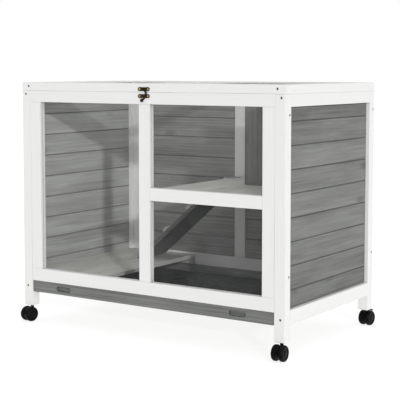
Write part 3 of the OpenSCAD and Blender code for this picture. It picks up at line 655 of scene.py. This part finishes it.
class HUTCH_OT_tray(bpy.types.Operator):
    """Makes the pull-out tray: its front, its frame and its two moulded pans"""

    bl_idname = "hutch.make_tray"
    bl_label = "Tray"

    def execute(self, context):
        wooden("tray_front", "drawer_x", 51, routed=(0, -1, 0))
        wooden("tray_frame", "drawer_x", 52)
        wooden("tray_base", "shelf_x", 53)
        for node in ("tray_liner_left", "tray_liner_right"):
            self.pan(node)
        return {"FINISHED"}

    def pan(self, node):
        """A pan with a flat rim, leaning walls and round corners, drawn up from its floor."""
        low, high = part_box(node)
        rim, wall, lean, rim_t = 4 * MM, 2 * MM, 0.6 * MM, 1.6 * MM
        corner_round, under_round, inner_round, rim_round = 16 * MM, 1.2 * MM, 1.5 * MM, 0.5 * MM
        middle = (low + high) / 2
        size = high - low
        bm = bmesh.new()
        bmesh.ops.create_cube(bm, size=1.0)
        foot = Vector((size.x - 2 * rim, size.y - 2 * rim, size.z - rim_t))
        bmesh.ops.scale(bm, vec=foot, verts=bm.verts)
        bmesh.ops.translate(bm, verts=bm.verts, vec=(middle.x, middle.y, low.z + foot.z / 2))
        corners = [e for e in bm.edges if abs(e.verts[0].co.z - e.verts[1].co.z) > foot.z / 2]
        bmesh.ops.bevel(bm, geom=corners, offset=corner_round, offset_type="OFFSET", segments=6,
                        profile=0.5, material=-1, affect="EDGES", clamp_overlap=True)
        centre = Matrix.Translation((-middle.x, -middle.y, 0))
        under = [v for v in bm.verts if v.co.z < middle.z]
        bmesh.ops.scale(bm, vec=(1 - 2 * lean / foot.x, 1 - 2 * lean / foot.y, 1), space=centre,
                        verts=under)
        floor_edges = [e for e in bm.edges if all(v.co.z < middle.z for v in e.verts)]
        bmesh.ops.bevel(bm, geom=floor_edges, offset=under_round, offset_type="OFFSET", segments=3,
                        profile=0.5, material=-1, affect="EDGES", clamp_overlap=True)
        top = self.lift(bm, self.top_face(bm), 0.0)
        grown = (size.x / foot.x, size.y / foot.y, 1)
        bmesh.ops.scale(bm, vec=grown, space=centre, verts=top.verts)
        top = self.lift(bm, top, rim_t)
        bmesh.ops.inset_region(bm, faces=[top], thickness=rim + wall, use_even_offset=True)
        top = self.lift(bm, self.top_face(bm), wall - size.z)
        bmesh.ops.scale(bm, vec=(1 - 3 * lean / foot.x, 1 - 3 * lean / foot.y, 1), space=centre,
                        verts=top.verts)
        bmesh.ops.bevel(bm, geom=list(top.edges), offset=inner_round, offset_type="OFFSET", segments=3,
                        profile=0.5, material=-1, affect="EDGES", clamp_overlap=True)
        ease_edges(bm, rim_round, 2 * MM, 2, 60.0)
        bmesh.ops.recalc_face_normals(bm, faces=bm.faces)
        put(bm, "moulded_" + node, "tray", "pan_plastic", [node], 35.0)

    def top_face(self, bm):
        """The innermost level face that looks up from the highest place."""
        level = [f for f in bm.faces if f.normal.z > 0.99]
        highest = max(f.calc_center_median().z for f in level)
        return max((f for f in level if f.calc_center_median().z > highest - 1e-6),
                   key=lambda f: len(f.verts))

    def lift(self, bm, face, rise):
        """Extrudes a face and moves the new one up or down."""
        made = bmesh.ops.extrude_face_region(bm, geom=[face])["geom"]
        new = next(f for f in made if isinstance(f, bmesh.types.BMFace))
        bmesh.ops.translate(bm, verts=new.verts, vec=(0, 0, rise))
        return new


JOINTS = {joint["name"]: joint for joint in frame["record"]["behaviour"]["joints"]}
WHEEL_R, TRAIL = 22.25 * MM, 12 * MM
AXLE = Vector((TRAIL, 0, WHEEL_R))
AXLE_R, AXLE_LENGTH = 2.5 * MM, 31.4 * MM
HALF_GAP = 5.3 * MM         # from the middle of a castor to the inner face of a wheel
RIBS, RIB_PLACE, RIB_SIZE = 6, (16.3 * MM, 12.0 * MM), (1.5 * MM, 1.4 * MM, 7.4 * MM)
# Outline of one wheel: distance from the axle, and outwards from its inner face, in millimetres
WHEEL = [(0.0, 10.6), (2.6, 10.6), (2.6, 0.0), (8.0, 0.0), (8.6, 0.7), (18.0, 0.7), (18.9, 0.0),
         (20.3, 0.0), (21.4, 0.5), (22.05, 1.4), (22.25, 2.6), (22.25, 7.6), (22.0, 9.0),
         (21.25, 10.6), (20.1, 11.8), (18.7, 12.5), (17.2, 12.7), (16.3, 12.55), (15.7, 12.0),
         (15.3, 11.5), (14.5, 11.2), (9.4, 11.2), (8.7, 11.4), (8.1, 12.0), (7.0, 12.4), (0.0, 12.6)]


class HUTCH_OT_castors(bpy.types.Operator):
    """Makes the twin-wheel castors with their axles and brake levers"""

    bl_idname = "hutch.make_castors"
    bl_label = "Castors"

    def execute(self, context):
        sizes = context.scene.hutch_sizes
        for key in ("fl", "fr", "rl", "rr"):
            place = self.stand(key)
            hardware("castor_housing_" + key, "castor_plastic",
                     sizes.plastic_round, 1.2 * MM)
            self.wheels(sizes, key, place)
            self.axle(key, place)
        for key in ("rl", "rr"):
            hardware("brake_lever_" + key, "castor_plastic",
                     sizes.plastic_round, 1.2 * MM)
        return {"FINISHED"}

    def stand(self, key):
        """Where a castor stands and which way it trails, from its joints."""
        x, y, _ = JOINTS[f"castor_{key}_swivel"]["pos_m"]
        across = JOINTS[f"wheels_{key}_spin"]["axis"]
        heading = math.atan2(-across[X], across[Y])
        return Matrix.Translation((x, y, 0)) @ Matrix.Rotation(heading, 4, "Z")

    def wheels(self, sizes, key, place):
        """Two wheels spun from their outline, with ribs on their outer faces."""
        bm = bmesh.new()
        for side in (-1, 1):
            verts = [bm.verts.new((AXLE.x, side * (HALF_GAP + t * MM), AXLE.z + r * MM))
                     for r, t in WHEEL]
            rim = [bm.edges.new(pair) for pair in zip(verts, verts[1:])]
            bmesh.ops.spin(bm, geom=verts + rim, cent=AXLE, axis=(0, 1, 0), angle=2 * math.pi,
                           steps=sizes.wheel_steps, use_merge=True)
            out, up = RIB_PLACE
            for turn in range(RIBS):
                around = (Matrix.Translation(AXLE)
                          @ Matrix.Rotation(turn * 2 * math.pi / RIBS, 4, "Y")
                          @ Matrix.Translation((0, side * out, up))
                          @ Matrix.Diagonal((*RIB_SIZE, 1.0)))
                bmesh.ops.create_cube(bm, size=1.0, matrix=around)
        bmesh.ops.remove_doubles(bm, verts=bm.verts, dist=WELD)
        bmesh.ops.recalc_face_normals(bm, faces=bm.faces)
        bmesh.ops.transform(bm, matrix=place, verts=bm.verts)
        put(bm, "spun_wheels_" + key, "wheels_" + key, "wheel_plastic",
            ["castor_wheels_" + key], 32.0)

    def axle(self, key, place):
        """The steel pin that both wheels of a castor are pressed on."""
        bm = bmesh.new()
        turn = Matrix.Rotation(math.pi / 2, 4, "X")
        bmesh.ops.create_cone(bm, cap_ends=True, cap_tris=False, segments=20, radius1=AXLE_R,
                              radius2=AXLE_R, depth=AXLE_LENGTH,
                              matrix=Matrix.Translation(AXLE) @ turn)
        ease_edges(bm, 0.7 * MM, 0.3 * MM, 3, 60.0)
        bmesh.ops.transform(bm, matrix=place, verts=bm.verts)
        put(bm, "axle_" + key, "wheels_" + key, "hinge_zinc", (), 32.0)


class HUTCH_OT_stage(bpy.types.Operator):
    """Makes the floor, the light and the camera"""

    bl_idname = "hutch.make_stage"
    bl_label = "Stage"

    def execute(self, context):
        scene = context.scene
        bm = bmesh.new()
        bmesh.ops.create_grid(bm, x_segments=2, y_segments=2, size=30.0)
        mesh = bpy.data.meshes.new("ground")
        bm.to_mesh(mesh)
        bm.free()
        mesh.materials.append(finish_for("ground_pale"))
        ground = bpy.data.objects.new("ground", mesh)
        scene.collection.objects.link(ground)

        world = bpy.data.worlds.new("studio")
        world.use_nodes = True
        tree = world.node_tree
        tree.nodes.clear()
        aim = add(tree, "ShaderNodeTexCoord").outputs["Generated"]
        height = add(tree, "ShaderNodeSeparateXYZ", {"Vector": aim}).outputs["Z"]
        glow = spread(tree, height, 0.0, 1.0, 0.05, 1.35)
        seen = add(tree, "ShaderNodeLightPath").outputs["Is Camera Ray"]
        level = math_node(tree, "MAXIMUM", glow, seen)
        sky = add(tree, "ShaderNodeBackground", {"Color": (1.0, 1.0, 1.0, 1.0), "Strength": level})
        add(tree, "ShaderNodeOutputWorld", {"Surface": sky.outputs[0]})
        scene.world = world

        self.sun(scene, "key", (-1.0, 0.86, -0.38), 1.35, 2.2)
        self.sun(scene, "side", (-1.0, 0.04, -0.15), 0.42, 20.0)
        self.sun(scene, "fill", (-0.45, 1.0, -0.12), 0.45, 30.0)
        scene.view_settings.view_transform = "Standard"
        scene.view_settings.look = "None"

        lens = bpy.data.cameras.new("camera")
        lens.sensor_width = 36.0
        lens.lens = 103.27
        lens.shift_x, lens.shift_y = 0.0025, -0.10
        lens.clip_start, lens.clip_end = 0.1, 100.0
        camera = bpy.data.objects.new("camera", lens)
        camera.location = (1.9285, -2.8645, 0.774)
        camera.rotation_euler = (math.radians(90 - 4.57), 0.0, math.radians(33.84))
        scene.collection.objects.link(camera)
        scene.camera = camera
        return {"FINISHED"}

    def sun(self, scene, name, direction, strength, angle):
        """A sun that shines in a direction. A wider angle, in degrees, gives softer shadows."""
        light = bpy.data.lights.new(name, "SUN")
        light.energy = strength
        light.angle = math.radians(angle)
        lamp = bpy.data.objects.new(name, light)
        lamp.rotation_euler = Vector(direction).to_track_quat("-Z", "Y").to_euler()
        lamp.location = -Vector(direction) * 4
        scene.collection.objects.link(lamp)


class HUTCH_PT_panel(bpy.types.Panel):
    """Lists the steps and settings of the hutch"""

    bl_idname = "HUTCH_PT_panel"
    bl_label = "Rabbit hutch"
    bl_space_type = "VIEW_3D"
    bl_region_type = "UI"
    bl_category = "Hutch"

    def draw(self, context):
        layout = self.layout
        for step in STEPS:
            layout.operator(step.bl_idname)
        for group in (context.scene.hutch_sizes, context.scene.hutch_colours):
            box = layout.box()
            for name in type(group).__annotations__:
                box.prop(group, name)


STEPS = [HUTCH_OT_frame, HUTCH_OT_walls, HUTCH_OT_shelves, HUTCH_OT_ramp, HUTCH_OT_lid,
         HUTCH_OT_windows, HUTCH_OT_hardware, HUTCH_OT_tray, HUTCH_OT_castors, HUTCH_OT_stage]
CLASSES = [HutchSizes, HutchColours, *STEPS, HUTCH_PT_panel]


def register():
    for made in CLASSES:
        bpy.utils.register_class(made)
    bpy.types.Scene.hutch_sizes = PointerProperty(type=HutchSizes)
    bpy.types.Scene.hutch_colours = PointerProperty(type=HutchColours)


def unregister():
    del bpy.types.Scene.hutch_colours
    del bpy.types.Scene.hutch_sizes
    for made in reversed(CLASSES):
        bpy.utils.unregister_class(made)


def main():
    register()
    for step in STEPS:
        group, name = step.bl_idname.split(".")
        getattr(getattr(bpy.ops, group), name)()


if __name__ == "__main__":
    main()
